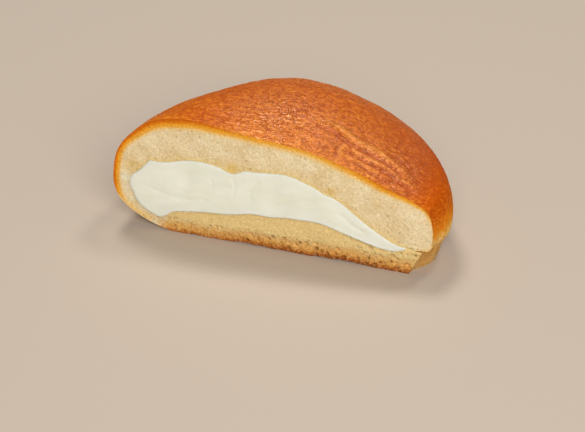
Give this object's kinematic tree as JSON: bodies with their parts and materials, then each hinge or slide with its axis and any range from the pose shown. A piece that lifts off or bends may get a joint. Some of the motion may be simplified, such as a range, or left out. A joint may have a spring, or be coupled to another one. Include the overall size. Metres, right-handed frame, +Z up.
{
  "type": "half cream bun",
  "caption": "Half of a round, domed sweet bread bun, cut upright through its whipped cream filling, resting on its flat base.",
  "frame": {"origin": "under the middle of the half bun's bounding box, on the surface that it rests on", "axes": "+X along the cut face from the bread hinge to the open mouth, +Y back from the cut face, +Z up"},
  "size_m": [0.111, 0.064, 0.0463],
  "materials": {
    "bread": "semi-gloss browned crust over pale porous crumb",
    "cream": "satin whipped cream"
  },
  "bodies": {
    "root": {"bread": "bread", "cream": "cream"}
  },
  "joints": []
}
